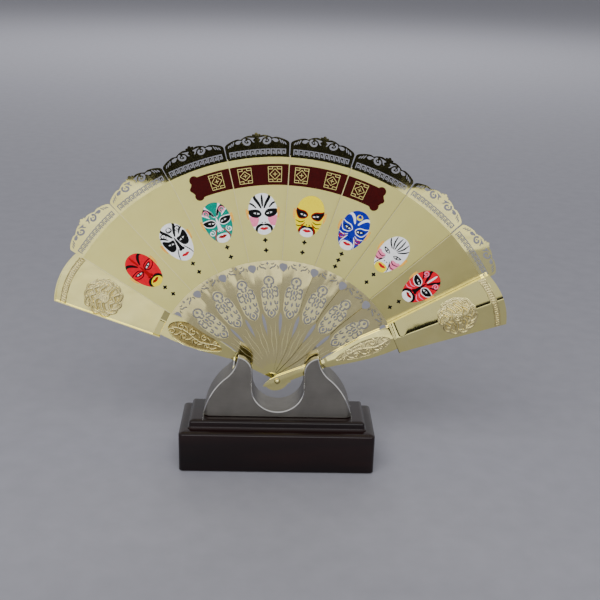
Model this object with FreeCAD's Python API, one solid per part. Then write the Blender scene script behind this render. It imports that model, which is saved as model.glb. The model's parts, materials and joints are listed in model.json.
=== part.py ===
import FreeCAD, Part
import math
import os

# A gilt brise folding fan of ten blades, open on a two-pronged cradle on a stepped wooden plinth.
# X runs to the right along the plinth, Y away from the front, Z up; millimetres.
# The origin is the middle of the plinth's underside.  Every blade is drawn upright, with
# the rivet at (0, 0), x across the blade and r from the rivet to the tip, then turned into place.

# Plinth
PLINTH_WIDTH = 140.0
PLINTH_DEPTH = 52.0
PLINTH_CORNER = 3.0
BLOCK_BOTTOM = 0.4
BLOCK_TOP = 30.9
BLOCK_EDGE = 2.8
STEP_INSET = 6.0
STEP_TOP = 37.4
STEP_EDGE = 2.0
FELT_INSET = 4.0
FELT_THICKNESS = 1.0

# Cradle
CRADLE_DEPTH = 24.0
CRADLE_HALF = 53.5
CRADLE_CORNER = 5.0
HORN_TIP = (28.4, 83.8)
TROUGH_RADIUS = 18.6
TROUGH_CENTRE = 60.3
SLOT_HALF = 5.9
SLOT_FLOOR = 67.5
SLOT_REACH = 40.0
SLOT_CEILING = 95.0

# Screws that hold the cradle down from below
SCREW_X = 36.0
SCREW_RADIUS = 2.0
SCREW_TIP = 48.0
SCREW_HEAD_RADIUS = 3.7
SCREW_HEAD_HEIGHT = 2.6
SCREW_SEAT = 12.0
COUNTERBORE_RADIUS = 5.2
WASHER_RADIUS = 4.5
WASHER_THICKNESS = 0.8

# Fan: rivet axis, blade angles from +X, and the stack along Y
PIVOT_X = -0.5
PIVOT_Z = 62.8
LEAVES = 8
LEAF_PITCH = 14.78
LEAF_FIRST_ANGLE = 139.92
REAR_GUARD_ANGLE = 154.0
FRONT_GUARD_ANGLE = 23.4
LEAF_THICKNESS = 0.5
STACK_STEP = 0.85
GUARD_INNER = 3.7
STICK_BAR = 1.5

# Rivet
PIN_RADIUS = 1.5
PIN_CLEARANCE = 0.05
DOME_RADIUS = 2.1
DOME_HEIGHT = 1.3
CAP_RADIUS = 2.4
CAP_HEIGHT = 1.0
SPACER_RADIUS = 2.6
SPACER_CLEARANCE = 0.05

# Leaf outline
EDGE_OFFSET = 3.4
EDGE_SLOPE = 0.107
UNDERLAP = 1.6
UNDERLAP_TOP = 161.0
UNDERLAP_BOTTOM = 92.0
CREST_CORNER = 170.0
PANEL_FOOT = 88.6
HOLE_R = 83.8
HOLE_RADIUS = 2.9
LEAF_TAIL = -9.5
LEAF_TAIL_HALF = 3.7

# Guard outline
GUARD_OFFSET = 2.0
GUARD_SLOPE = 0.1065
SHELL_FOOT = 88.7
SHELL_CORNER = 166.0
SHELL_PEAK = 169.8
SHELL_RIM = 3.0
SHELL_RISE_FOOT = 2.4
SHELL_RISE_TOP = 3.6
SHELL_WALL = 0.8
SHELL_OVERRUN = 3.0
SHELL_TOP_FALL = 0.4
LINING_FOOT = 94.0
LINING_RECESS = 0.9
LINING_THICKNESS = 0.5
LINING_CLEARANCE = 0.05
RELIEF_FOOT = 39.0
RELIEF_TOP = 88.0
RELIEF_DEPTH = 1.8
RELIEF_INSET = 0.7
TONGUE_TOP = 93.0
TONGUE_HALF = 8.4
GUARD_TAIL = -10.9
GUARD_TAIL_HALF = 3.4

# How far a cutting body runs past the faces it cuts
OVERRUN = 1.0

UP = FreeCAD.Vector(0, 0, 1)
AWAY = FreeCAD.Vector(0, 1, 0)
ORIGIN = FreeCAD.Vector(0, 0, 0)


def point(x, z, y=0.0):
    return FreeCAD.Vector(x, y, z)


def line(a, b, y=0.0):
    return Part.LineSegment(point(*a, y), point(*b, y)).toShape()


def arc(a, b, c, y=0.0):
    return Part.Arc(point(*a, y), point(*b, y), point(*c, y)).toShape()


def curve(points, y=0.0):
    spline = Part.BSplineCurve()
    spline.interpolate([point(*p, y) for p in points])
    return spline.toShape()


def polyline(points, y=0.0):
    return [line(a, b, y) for a, b in zip(points, points[1:])]


def plate(edges, near, far):
    """Extrude a closed outline, drawn in the XZ plane, from y = near to y = far."""
    wire = Part.Wire(Part.__sortEdges__(edges))
    slab = Part.Face(wire).extrude(AWAY * (far - near))
    slab.translate(AWAY * near)
    return slab


def mirrored(edges):
    """The edges with their mirror images across x = 0."""
    return edges + [edge.mirror(ORIGIN, FreeCAD.Vector(1, 0, 0)) for edge in edges]


def rounded_box(width, depth, bottom, top, corner):
    box = Part.makeBox(width, depth, top - bottom, FreeCAD.Vector(-width / 2, -depth / 2, bottom))
    upright = [e for e in box.Edges if abs(e.tangentAt(e.FirstParameter).z) > 0.9]
    return box.makeFillet(corner, upright)


def round_top(shape, height, radius):
    rim = [e for e in shape.Edges if e.BoundBox.ZMin > height - 1e-4]
    return shape.makeFillet(radius, rim)


def cylinder(radius, start, end, x=0.0, z=0.0):
    """A round bar along Y."""
    return Part.makeCylinder(radius, end - start, FreeCAD.Vector(x, start, z), AWAY)


def post(radius, bottom, top, x):
    """A round bar along Z, standing at (x, 0)."""
    return Part.makeCylinder(radius, top - bottom, FreeCAD.Vector(x, 0, bottom), UP)


def place(shape, angle):
    """Turn an upright blade piece to its angle from +X and carry it to the rivet axis."""
    placed = shape.copy()
    placed.rotate(ORIGIN, AWAY, 90.0 - angle)
    placed.translate(point(PIVOT_X, PIVOT_Z))
    return placed


# ---------------------------------------------------------------- stand

def plinth_block():
    """Lower step: rounded top edge, a pocket for the felt and two counterbored screw holes."""
    block = rounded_box(PLINTH_WIDTH, PLINTH_DEPTH, BLOCK_BOTTOM, BLOCK_TOP, PLINTH_CORNER)
    block = round_top(block, BLOCK_TOP, BLOCK_EDGE)
    block = block.cut(underside_felt())
    for side in (-1, 1):
        block = block.cut(post(SCREW_RADIUS, BLOCK_BOTTOM, BLOCK_TOP, side * SCREW_X))
        block = block.cut(post(COUNTERBORE_RADIUS, BLOCK_BOTTOM, SCREW_SEAT, side * SCREW_X))
    return block


def plinth_step():
    """Upper step, set in on all four sides."""
    width = PLINTH_WIDTH - 2 * STEP_INSET
    depth = PLINTH_DEPTH - 2 * STEP_INSET
    step = rounded_box(width, depth, BLOCK_TOP, STEP_TOP, PLINTH_CORNER)
    step = round_top(step, STEP_TOP, STEP_EDGE)
    for side in (-1, 1):
        step = step.cut(post(SCREW_RADIUS, BLOCK_TOP, STEP_TOP, side * SCREW_X))
    return step


def underside_felt():
    width = PLINTH_WIDTH - 2 * FELT_INSET
    depth = PLINTH_DEPTH - 2 * FELT_INSET
    return rounded_box(width, depth, 0.0, FELT_THICKNESS, PLINTH_CORNER)


def slot_floor(x):
    """Height of the slot's floor: it follows the underside of the lower guard's stick."""
    slope = math.tan(math.radians(FRONT_GUARD_ANGLE))
    return SLOT_FLOOR + slope * (x - TROUGH_RADIUS)


def cradle():
    """Two pairs of horns around a trough; the slot between the pairs takes the blades."""
    half = [
        line((0, STEP_TOP), (CRADLE_HALF, STEP_TOP)),
        arc((CRADLE_HALF, STEP_TOP), (47.8, 54.4), (38.2, 66.6)),
        arc((38.2, 66.6), (31.4, 74.4), HORN_TIP),
        arc(HORN_TIP, (22.2, 80.9), (TROUGH_RADIUS, 72.5)),
        line((TROUGH_RADIUS, 72.5), (TROUGH_RADIUS, TROUGH_CENTRE)),
    ]
    bottom = (0, TROUGH_CENTRE - TROUGH_RADIUS)
    trough = arc((-TROUGH_RADIUS, TROUGH_CENTRE), bottom, (TROUGH_RADIUS, TROUGH_CENTRE))
    body = plate(mirrored(half) + [trough], -CRADLE_DEPTH / 2, CRADLE_DEPTH / 2)
    plan = rounded_box(2 * CRADLE_HALF, CRADLE_DEPTH, STEP_TOP, SLOT_CEILING, CRADLE_CORNER)
    body = body.common(plan)
    inner, outer = TROUGH_RADIUS - OVERRUN, SLOT_REACH
    corners = [(inner, slot_floor(inner)), (outer, slot_floor(outer))]
    corners += [(outer, SLOT_CEILING), (inner, SLOT_CEILING)]
    for side in (-1, 1):
        mouth = [(side * x, z) for x, z in corners]
        body = body.cut(plate(polyline(mouth + mouth[:1]), -SLOT_HALF, SLOT_HALF))
        body = body.cut(post(SCREW_RADIUS, STEP_TOP, SCREW_TIP, side * SCREW_X))
    return body


def cradle_screws():
    screws = []
    seat = SCREW_SEAT - WASHER_THICKNESS
    for side in (-1, 1):
        shank = post(SCREW_RADIUS, seat, SCREW_TIP, side * SCREW_X)
        head = post(SCREW_HEAD_RADIUS, seat - SCREW_HEAD_HEIGHT, seat, side * SCREW_X)
        screws.append(shank.fuse(head).removeSplitter())
    return Part.makeCompound(screws)


def screw_washers():
    rings = []
    bottom = SCREW_SEAT - WASHER_THICKNESS
    for side in (-1, 1):
        ring = post(WASHER_RADIUS, bottom, SCREW_SEAT, side * SCREW_X)
        rings.append(ring.cut(post(SCREW_RADIUS, bottom, SCREW_SEAT, side * SCREW_X)))
    return Part.makeCompound(rings)


# ---------------------------------------------------------------- leaves

def leaf_half(r):
    return EDGE_OFFSET + EDGE_SLOPE * r


def leaf_side(side, underlap):
    """One side of a leaf: crest, straight edge, notch of the between-blade hole, and stick."""
    corner = (leaf_half(CREST_CORNER), CREST_CORNER)
    foot = (leaf_half(PANEL_FOOT), PANEL_FOOT)
    hole_x = HOLE_R * math.tan(math.radians(LEAF_PITCH / 2))
    notch = []
    for degrees in (65, 180, 258):
        turn = math.radians(degrees)
        notch.append((hole_x + HOLE_RADIUS * math.cos(turn), HOLE_R + HOLE_RADIUS * math.sin(turn)))
    stick = [notch[2], (9.2, 66), (7.5, 53), (5.3, 41), (3.5, 34), (2.7, 28.5), (2.9, 21)]
    stick += [(3.3, 10), (LEAF_TAIL_HALF, 0)]

    def flip(points):
        return [(side * x, z) for x, z in points]

    edges = [arc(*flip([(0, 178.3), (1.9, 177.5), (2.4, 176.3)]))]
    edges.append(arc(*flip([(2.4, 176.3), (11.6, 175.0), (19.0, 172.2)])))
    edges.append(arc(*flip([(19.0, 172.2), (20.7, 171.4), corner])))
    if underlap:
        top = (leaf_half(UNDERLAP_TOP), UNDERLAP_TOP)
        low = (leaf_half(UNDERLAP_BOTTOM), UNDERLAP_BOTTOM)
        lip = [(top[0] + UNDERLAP, top[1] - UNDERLAP), (low[0] + UNDERLAP, low[1] + UNDERLAP)]
        edges += polyline(flip([corner, top] + lip + [low, foot, notch[0]]))
    else:
        edges += polyline(flip([corner, foot, notch[0]]))
    edges.append(arc(*flip(notch)))
    edges.append(curve(flip(stick)))
    edges += polyline(flip([(LEAF_TAIL_HALF, 0), (LEAF_TAIL_HALF, LEAF_TAIL + LEAF_TAIL_HALF)]))
    return edges


def leaf(number):
    """A flat leaf bored for the rivet; its right edge slides under the next leaf's left edge."""
    shoulder = LEAF_TAIL + LEAF_TAIL_HALF
    tail = arc((-LEAF_TAIL_HALF, shoulder), (0, LEAF_TAIL), (LEAF_TAIL_HALF, shoulder))
    edges = leaf_side(1, True) + leaf_side(-1, False) + [tail]
    middle = ((LEAVES + 1) / 2 - number) * STACK_STEP
    near = middle - LEAF_THICKNESS / 2
    far = middle + LEAF_THICKNESS / 2
    blade = plate(edges, near, far)
    return blade.cut(cylinder(PIN_RADIUS + PIN_CLEARANCE, near, far))


# ---------------------------------------------------------------- guards

def guard_half(r):
    return GUARD_OFFSET + GUARD_SLOPE * r


def arch_section(r, half, rim, rise, base):
    """Cross-section of a guard shell at radius r, arching away from the blades along +Y."""
    def at(x, y):
        return FreeCAD.Vector(x, y, r)
    crown = base + rim + rise
    edges = [
        Part.LineSegment(at(-half, base), at(-half, base + rim)).toShape(),
        Part.Arc(at(-half, base + rim), at(0, crown), at(half, base + rim)).toShape(),
        Part.LineSegment(at(half, base + rim), at(half, base)).toShape(),
        Part.LineSegment(at(half, base), at(-half, base)).toShape(),
    ]
    return Part.Wire(edges)


def arch_body(inset, base, foot):
    """The guard's domed outer form, or its hollow when inset by the wall."""
    sections = []
    for r, rise in ((foot, SHELL_RISE_FOOT), (SHELL_PEAK + SHELL_OVERRUN, SHELL_RISE_TOP)):
        rim = GUARD_INNER + SHELL_RIM - base
        sections.append(arch_section(r, guard_half(r) - inset, rim, rise - inset, base))
    form = Part.makeLoft(sections, True, True)
    top = SHELL_PEAK - inset
    side = guard_half(SHELL_CORNER) + SHELL_OVERRUN
    corner = SHELL_CORNER - inset - (SHELL_PEAK - SHELL_CORNER) * SHELL_TOP_FALL
    plan = [arc((-side, corner), (0, top), (side, corner))]
    plan += polyline([(side, corner), (side, foot), (-side, foot), (-side, corner)])
    return form.common(plate(plan, 0.0, PLINTH_DEPTH / 2))


def guard_shell(outward):
    """Stamped, hollow upper guard, open at its foot and, behind its lining, towards the blades."""
    shell = arch_body(0.0, GUARD_INNER, SHELL_FOOT)
    shell = shell.cut(arch_body(SHELL_WALL, GUARD_INNER - OVERRUN, SHELL_FOOT - OVERRUN))
    return facing(shell, outward)


def guard_lining(outward):
    """Flat plate let into the shell's open side, a little below its rim."""
    form = arch_body(SHELL_WALL + LINING_CLEARANCE, GUARD_INNER, LINING_FOOT)
    half = guard_half(SHELL_PEAK)
    corners = [(-half, LINING_FOOT), (half, LINING_FOOT), (half, SHELL_PEAK), (-half, SHELL_PEAK)]
    near = GUARD_INNER + LINING_RECESS
    layer = plate(polyline(corners + corners[:1]), near, near + LINING_THICKNESS)
    return facing(form.common(layer), outward)


def facing(shape, outward):
    """Blade pieces are drawn for the rear guard; the front guard is their mirror image."""
    if outward > 0:
        return shape
    return shape.mirror(ORIGIN, AWAY)


def stick_edges(inset, foot, top):
    """Outline of the guard's relief-covered stick between two radii."""
    half = [(8.9, 88.0), (9.1, 80.0), (8.6, 68.0), (6.9, 56.0), (4.9, 45.0), (3.6, 39.0)]
    side = curve([(x - inset, z) for x, z in half])
    edges = mirrored([side])
    edges += [line((-half[0][0] + inset, top), (half[0][0] - inset, top))]
    edges += [line((-half[-1][0] + inset, foot), (half[-1][0] - inset, foot))]
    return edges


def guard_stick(outward):
    """Lower guard: relief block, flat bar over the rivet, and a tongue inside the shell."""
    far = GUARD_INNER + STICK_BAR
    stick = plate(stick_edges(0.0, RELIEF_FOOT, RELIEF_TOP), GUARD_INNER, far)
    block = plate(stick_edges(RELIEF_INSET, RELIEF_FOOT, RELIEF_TOP), far, far + RELIEF_DEPTH)
    tongue = [(-TONGUE_HALF, RELIEF_TOP), (-TONGUE_HALF, TONGUE_TOP), (TONGUE_HALF, TONGUE_TOP)]
    tongue += [(TONGUE_HALF, RELIEF_TOP), (-TONGUE_HALF, RELIEF_TOP)]
    shoulder = GUARD_TAIL + GUARD_TAIL_HALF
    bar = mirrored([
        curve([(3.6, RELIEF_FOOT), (3.0, 32.0), (3.1, 20.0), (GUARD_TAIL_HALF, 0.0)]),
        line((GUARD_TAIL_HALF, 0.0), (GUARD_TAIL_HALF, shoulder)),
    ])
    bar.append(line((-3.6, RELIEF_FOOT), (3.6, RELIEF_FOOT)))
    bar.append(arc((-GUARD_TAIL_HALF, shoulder), (0, GUARD_TAIL), (GUARD_TAIL_HALF, shoulder)))
    stick = stick.fuse([block, plate(polyline(tongue), GUARD_INNER, far), plate(bar, GUARD_INNER, far)])
    stick = stick.removeSplitter()
    # The rear stick is fast on the rivet; the front one turns on it.
    bore = PIN_RADIUS if outward > 0 else PIN_RADIUS + PIN_CLEARANCE
    return facing(stick.cut(cylinder(bore, GUARD_INNER, far)), outward)


# ---------------------------------------------------------------- rivet

def rivet():
    """Shank through all ten blades, with its domed head in front."""
    reach = GUARD_INNER + STICK_BAR
    shank = cylinder(PIN_RADIUS, -reach, reach + CAP_HEIGHT)
    ball_radius = (DOME_RADIUS ** 2 + DOME_HEIGHT ** 2) / (2 * DOME_HEIGHT)
    ball = Part.makeSphere(ball_radius, FreeCAD.Vector(0, -reach + ball_radius - DOME_HEIGHT, 0))
    cutter = cylinder(DOME_RADIUS + OVERRUN, -reach - DOME_HEIGHT - OVERRUN, -reach)
    dome = ball.common(cutter)
    return shank.fuse(dome)


def rivet_cap():
    """Closing ring over the shank's rear end."""
    reach = GUARD_INNER + STICK_BAR
    cap = cylinder(CAP_RADIUS, reach, reach + CAP_HEIGHT)
    return cap.cut(cylinder(PIN_RADIUS, reach, reach + CAP_HEIGHT))


def rivet_spacers():
    """Nine thin rings that keep the blades apart."""
    faces = [GUARD_INNER]
    for number in range(1, LEAVES + 1):
        middle = ((LEAVES + 1) / 2 - number) * STACK_STEP
        faces += [middle + LEAF_THICKNESS / 2, middle - LEAF_THICKNESS / 2]
    faces.append(-GUARD_INNER)
    rings = []
    for far, near in zip(faces[0::2], faces[1::2]):
        near, far = near + SPACER_CLEARANCE, far - SPACER_CLEARANCE
        ring = cylinder(SPACER_RADIUS, near, far)
        rings.append(ring.cut(cylinder(PIN_RADIUS, near, far)))
    return Part.makeCompound(rings)


# ---------------------------------------------------------------- assembly

def parts():
    made = {
        "plinth_block": plinth_block(),
        "plinth_step": plinth_step(),
        "underside_felt": underside_felt(),
        "cradle": cradle(),
        "cradle_screws": cradle_screws(),
        "screw_washers": screw_washers(),
        "rivet": place(rivet(), 90.0),
        "rivet_cap": place(rivet_cap(), 90.0),
        "rivet_spacers": place(rivet_spacers(), 90.0),
        "guard_rear_shell": place(guard_shell(1), REAR_GUARD_ANGLE),
        "guard_rear_lining": place(guard_lining(1), REAR_GUARD_ANGLE),
        "guard_rear_stick": place(guard_stick(1), REAR_GUARD_ANGLE),
        "guard_front_shell": place(guard_shell(-1), FRONT_GUARD_ANGLE),
        "guard_front_lining": place(guard_lining(-1), FRONT_GUARD_ANGLE),
        "guard_front_stick": place(guard_stick(-1), FRONT_GUARD_ANGLE),
    }
    for number in range(1, LEAVES + 1):
        angle = LEAF_FIRST_ANGLE - (number - 1) * LEAF_PITCH
        made["leaf_%d" % number] = place(leaf(number), angle)
    return made


def main():
    os.makedirs("parts", exist_ok=True)
    for name, shape in parts().items():
        box = shape.BoundBox
        print("%-20s valid %s volume %9.1f" % (name, shape.isValid(), shape.Volume),
              "x %.1f..%.1f y %.2f..%.2f z %.1f..%.1f"
              % (box.XMin, box.XMax, box.YMin, box.YMax, box.ZMin, box.ZMax))
        shape.exportStep("parts/%s.step" % name)


main()
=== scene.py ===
import json
import math
import random
from collections import namedtuple

import bmesh
import bpy
import numpy as np
from mathutils import Matrix, Vector
from mathutils.geometry import delaunay_2d_cdt


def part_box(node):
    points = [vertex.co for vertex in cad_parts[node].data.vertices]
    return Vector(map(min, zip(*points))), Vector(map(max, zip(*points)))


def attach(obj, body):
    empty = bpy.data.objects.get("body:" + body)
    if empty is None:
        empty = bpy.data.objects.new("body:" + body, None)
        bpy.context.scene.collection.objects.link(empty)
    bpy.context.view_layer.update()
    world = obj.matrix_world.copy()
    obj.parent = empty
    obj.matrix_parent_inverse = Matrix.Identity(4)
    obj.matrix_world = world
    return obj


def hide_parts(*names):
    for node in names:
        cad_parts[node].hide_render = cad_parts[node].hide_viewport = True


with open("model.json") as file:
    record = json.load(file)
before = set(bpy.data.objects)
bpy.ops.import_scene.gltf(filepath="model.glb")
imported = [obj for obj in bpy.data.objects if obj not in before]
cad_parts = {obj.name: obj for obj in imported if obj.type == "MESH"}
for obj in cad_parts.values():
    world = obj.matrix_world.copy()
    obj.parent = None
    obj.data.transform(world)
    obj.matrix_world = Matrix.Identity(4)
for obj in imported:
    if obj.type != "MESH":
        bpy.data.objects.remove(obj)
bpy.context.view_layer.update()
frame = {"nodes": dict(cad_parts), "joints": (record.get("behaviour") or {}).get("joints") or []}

# A gilt folding fan on a pewter cradle and a lacquered plinth.  Blades are drawn upright in
# millimetres, with the rivet at (0, 0), x across the blade and r from the rivet to the tip;
# each blade's object matrix turns them into place.  Everything in the scene is in metres.

MM = 0.001

# ---------------- driving dimensions

PIVOT = Vector([j for j in frame["joints"] if j["name"] == "leaf_1_turn"][0]["pos_m"])
LEAVES = 8
LEAF_PITCH = 14.78
LEAF_FIRST_ANGLE = 139.92
REAR_GUARD_ANGLE = 154.0
FRONT_GUARD_ANGLE = 23.4
GUARD_INNER = 3.7

# Leaf outline
EDGE_OFFSET = 3.4
EDGE_SLOPE = 0.107
PANEL_FOOT = 88.6
CREST_FOOT = 161.6
CREST_CORNER = 169.6
HOLE_R = 83.8
UNDERLAP = 1.6
UNDERLAP_TOP = 161.0
UNDERLAP_BOTTOM = 92.0
SATIN_FOOT = 89.4
HEM_FOOT = 89.2
STICK_FINISH_FOOT = 12.0
LEAF_TAIL = -9.5
LEAF_TAIL_HALF = 3.7
BORE_RADIUS = 1.55

# Pierced work of the leaves
FRET_R = 165.1
FRET_PITCH = 3.45
FRET_UNITS = 11
FRET_SLOT = 0.74
SCROLL_SLIMMING = 0.8
LIP_WIDTH = 0.20

# Guards
GUARD_OFFSET = 2.0
GUARD_SLOPE = 0.1065
SHELL_FOOT = 88.7
SHELL_CORNER = 166.0
SHELL_PEAK = 169.8
SHELL_WALL = 0.8
SHELL_RIM = 3.0
SHELL_RISE_FOOT = 2.4
SHELL_RISE_TOP = 3.6
RIDGE_ROUND = 0.055
EDGE_BLEND = 0.03
LINING_FOOT = 94.0
LINING_RECESS = 0.9
LINING_THICKNESS = 0.5
LINING_INSET = 0.85
ROUNDEL_R = 136.0
ROUNDEL_RADIUS = 14.0
ROUNDEL_DOME = 0.12
ROUNDEL_X = {1: -1.9, -1: 0.6}
BORDER_R = 163.0
BORDER_SPAN = 17.4
BORDER_SAG = 2.7
BORDER_CURVE = 0.0087
BORDER_HALF = 2.2
STICK_BOTTOM = -10.9
STICK_TOP = 89.5
STICK_BAR = 0.9
STICK_PITCH = 0.14
STICK_SINK = 0.30
STICK_RELIEF = 0.50
PAN_DEPTH = 0.75
# Depth beyond which the rear stick's pan is painted darker, as shade
PAN_SHADE_DEPTH = 0.35

# Masks and banner
MASK_R = 122.7
MASK_HALF_WIDTH = 10.0
MASK_HALF_HEIGHT = 14.6
ENAMEL_HEIGHT = 0.12
BANNER_INNER = 142.6
BANNER_OUTER = 156.9
BANNER_MIDDLE = 150.0
FLORET_ROWS = (104.2, 96.9)
LONG_FLORET_ROWS = (104.5, 99.5, 94.5)

# Camera
LENS = 57.96
ELEVATION = 20.04
HEADING = 1.6
ROLL = 1.64
DISTANCE = 0.6779
SENSOR_WIDTH = 36.0
TARGET = Vector((0.01433, 0.0, 0.12331))

# Table edge in front of the fan: polished parts that face it above this line mirror the dark room
TABLE_FRONT = -0.86
ROOM_GAP = 0.083
CARD_HEIGHT = 0.002
STUDIO_TONE = (0.84, 0.84, 0.86, 1)
STUDIO_STRENGTH = 0.76

# Where noise has most of its values
NOISE_RANGE = (0.3, 0.7)


# ---------------- drawing in the plane

def flipped(points):
    return [(-x, r) for x, r in points]


def polar(x, r, reach, turn):
    return x + reach * math.cos(turn), r + reach * math.sin(turn)


def circle(x, r, radius, count):
    return [polar(x, r, radius, 2 * math.pi * i / count) for i in range(count)]


def arc(x, r, radius, start, end, count):
    """Points on a circle from one angle to another, in degrees anticlockwise from +x."""
    turns = [math.radians(start + (end - start) * i / count) for i in range(count + 1)]
    return [polar(x, r, radius, turn) for turn in turns]


def smooth(points, closed=False, steps=5):
    """A Catmull-Rom curve through the points."""
    count = len(points)
    out = []
    for i in range(count if closed else count - 1):
        if closed:
            p0, p1, p2, p3 = (points[(i + k) % count] for k in (-1, 0, 1, 2))
        else:
            p0, p1, p2, p3 = (points[min(max(i + k, 0), count - 1)] for k in (-1, 0, 1, 2))
        for step in range(steps):
            t = step / steps
            out.append(tuple(
                0.5 * (2 * b + (c - a) * t + (2 * a - 5 * b + 4 * c - d) * t * t
                       + (3 * b - a - 3 * c + d) * t ** 3)
                for a, b, c, d in zip(p0, p1, p2, p3)))
    if not closed:
        out.append(points[-1])
    return out


def patch(points, steps=5):
    return smooth(points, closed=True, steps=steps)


def ribbon(path, width, taper=0.0):
    """Outline of a stroke along the path, with round ends; taper thins it towards both ends."""
    last = len(path) - 1
    left, right = [], []
    for i, (x, r) in enumerate(path):
        ahead, behind = path[min(i + 1, last)], path[max(i - 1, 0)]
        dx, dr = ahead[0] - behind[0], ahead[1] - behind[1]
        length = math.hypot(dx, dr) or 1.0
        half = width / 2 * (1 - taper * abs(2 * i / last - 1) ** 2)
        nx, nr = -dr / length * half, dx / length * half
        left.append((x + nx, r + nr))
        right.append((x - nx, r - nr))

    def cap(index, other):
        (x, r), (ox, orr) = path[index], path[other]
        length = math.hypot(x - ox, r - orr) or 1.0
        half = width / 2 * (1 - taper)
        return (x + (x - ox) / length * half, r + (r - orr) / length * half)

    return left + [cap(last, last - 1)] + right[::-1] + [cap(0, 1)]


def square_ribbon(path, width):
    """Outline of a stroke whose runs meet at right angles, with mitred corners."""
    half = width / 2
    runs = [tuple((b > a) - (b < a) for a, b in zip(p, q)) for p, q in zip(path, path[1:])]
    left, right = [], []
    for (x, r), before, after in zip(path, runs[:1] + runs, runs + runs[-1:]):
        nx, nr = -before[1], before[0]
        if before != after:
            nx, nr = nx - after[1], nr + after[0]
        left.append((x + nx * half, r + nr * half))
        right.append((x - nx * half, r - nr * half))
    return left + right[::-1]


def stroke(points, width, taper=0.0):
    return ribbon(smooth(points), width, taper)


def spiral(x, r, radius, start, turns, end=0.18):
    """Points of a spiral that winds in from the radius; negative turns run clockwise."""
    steps_per_turn = 18
    points = []
    count = max(3, int(abs(turns) * steps_per_turn))
    for i in range(count + 1):
        t = i / count
        angle = math.radians(start) + 2 * math.pi * turns * t
        reach = radius * (1 - (1 - end) * t)
        points.append(polar(x, r, reach, angle))
    return points


def band(inner, outer, left, right, count):
    """Outline between two arcs about the rivet; left and right are x at the outer arc."""
    a0, a1 = math.asin(left / outer), math.asin(right / outer)
    turns = [a0 + (a1 - a0) * i / count for i in range(count + 1)]
    top = [(outer * math.sin(t), outer * math.cos(t)) for t in turns]
    bottom = [(inner * math.sin(t), inner * math.cos(t)) for t in turns]
    return bottom + top[::-1]


def bend(points, radius):
    """Carry points drawn about (0, radius) along a straight line on to the arc of that radius."""
    out = []
    for x, r in points:
        angle = x / radius
        out.append((r * math.sin(angle), r * math.cos(angle)))
    return out


def anticlockwise(points):
    area = sum(a[0] * b[1] - b[0] * a[1] for a, b in zip(points, points[1:] + points[:1]))
    return points if area > 0 else points[::-1]


# ---------------- meshes

def new_object(name, data):
    made = bpy.data.objects.new(name, data)
    bpy.context.scene.collection.objects.link(made)
    return made


def make_object(mesh, body, matrix=None, replaces=()):
    """A piece of the object, named after its mesh."""
    piece = new_object(mesh.name, mesh)
    if matrix is not None:
        piece.matrix_world = matrix
    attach(piece, body)
    if replaces:
        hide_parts(*replaces)
    return piece


def new_mesh(name, points, faces, materials):
    mesh = bpy.data.meshes.new(name)
    mesh.from_pydata(points, [], faces)
    for finish in materials:
        mesh.materials.append(finish)
    return mesh


def shade(mesh, sharp):
    """Smooth shading, with edges sharper than the angle kept crisp."""
    mesh.shade_smooth()
    mesh.set_sharp_from_angle(angle=math.radians(sharp))


def cut_sheet(name, outline, zones, holes, near, far, materials, edge=None):
    """A flat sheet with holes.  Each zone is (outline, material index), later ones on top.

    edge is the material index of the sheet's cut edges, where it differs from its faces.
    """
    shapes = [anticlockwise(outline)] + [anticlockwise(z[0]) for z in zones]
    shapes += [anticlockwise(h) for h in holes]
    first_hole = 1 + len(zones)
    coords, loops = [], []
    for shape in shapes:
        loops.append(list(range(len(coords), len(coords) + len(shape))))
        coords += shape
    corners = [Vector(c) for c in coords]
    flat, _, cells, _, _, origins = delaunay_2d_cdt(corners, [], loops, 0, 1e-4)
    kept, paints, edges = [], [], {}
    for cell, origin in zip(cells, origins):
        if 0 not in origin or max(origin) >= first_hole:
            continue
        kept.append(list(cell))
        top = max(origin)
        paints.append(zones[top - 1][1] if top else 0)
        for a, b in zip(cell, list(cell[1:]) + [cell[0]]):
            edges[(a, b)] = paints[-1]
    used = sorted({i for cell in kept for i in cell})
    place = {index: n for n, index in enumerate(used)}
    count = len(used)
    points = [(flat[i].x * MM, near * MM, flat[i].y * MM) for i in used]
    points += [(flat[i].x * MM, far * MM, flat[i].y * MM) for i in used]
    faces = [[place[i] for i in cell] for cell in kept]
    faces += [[place[i] + count for i in reversed(cell)] for cell in kept]
    paints = paints + paints
    for (a, b), paint in edges.items():
        if (b, a) not in edges:
            a, b = place[a], place[b]
            faces.append([b, a, a + count, b + count])
            paints.append(paint if edge is None else edge)
    mesh = new_mesh(name, points, faces, materials)
    mesh.polygons.foreach_set("material_index", paints)
    mesh.update()
    return mesh


def skin(name, outer, inner, materials, paint):
    """A closed mesh between two equal grids of points, in millimetres.

    paint holds one material index for each cell of the grids.
    """
    rows, columns = outer.shape[:2]
    points = np.concatenate([outer.reshape(-1, 3), inner.reshape(-1, 3)]) * MM
    index = np.arange(rows * columns).reshape(rows, columns)
    quads = np.stack([index[:-1, :-1], index[:-1, 1:], index[1:, 1:], index[1:, :-1]], -1)
    quads = quads.reshape(-1, 4)
    below = quads[:, ::-1] + rows * columns
    rim = np.concatenate([index[0, :], index[1:, -1], index[-1, -2::-1], index[-2:0:-1, 0]])
    ahead = np.roll(rim, -1)
    walls = np.stack([ahead, rim, rim + rows * columns, ahead + rows * columns], -1)
    faces = np.concatenate([quads, below, walls]).tolist()
    mesh = new_mesh(name, points.tolist(), faces, materials)
    form = bmesh.new()
    form.from_mesh(mesh)
    bmesh.ops.recalc_face_normals(form, faces=form.faces)
    form.to_mesh(mesh)
    form.free()
    cells = paint.reshape(-1).tolist()
    mesh.polygons.foreach_set("material_index", cells + cells + [0] * len(walls))
    shade(mesh, 40)
    return mesh


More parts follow.
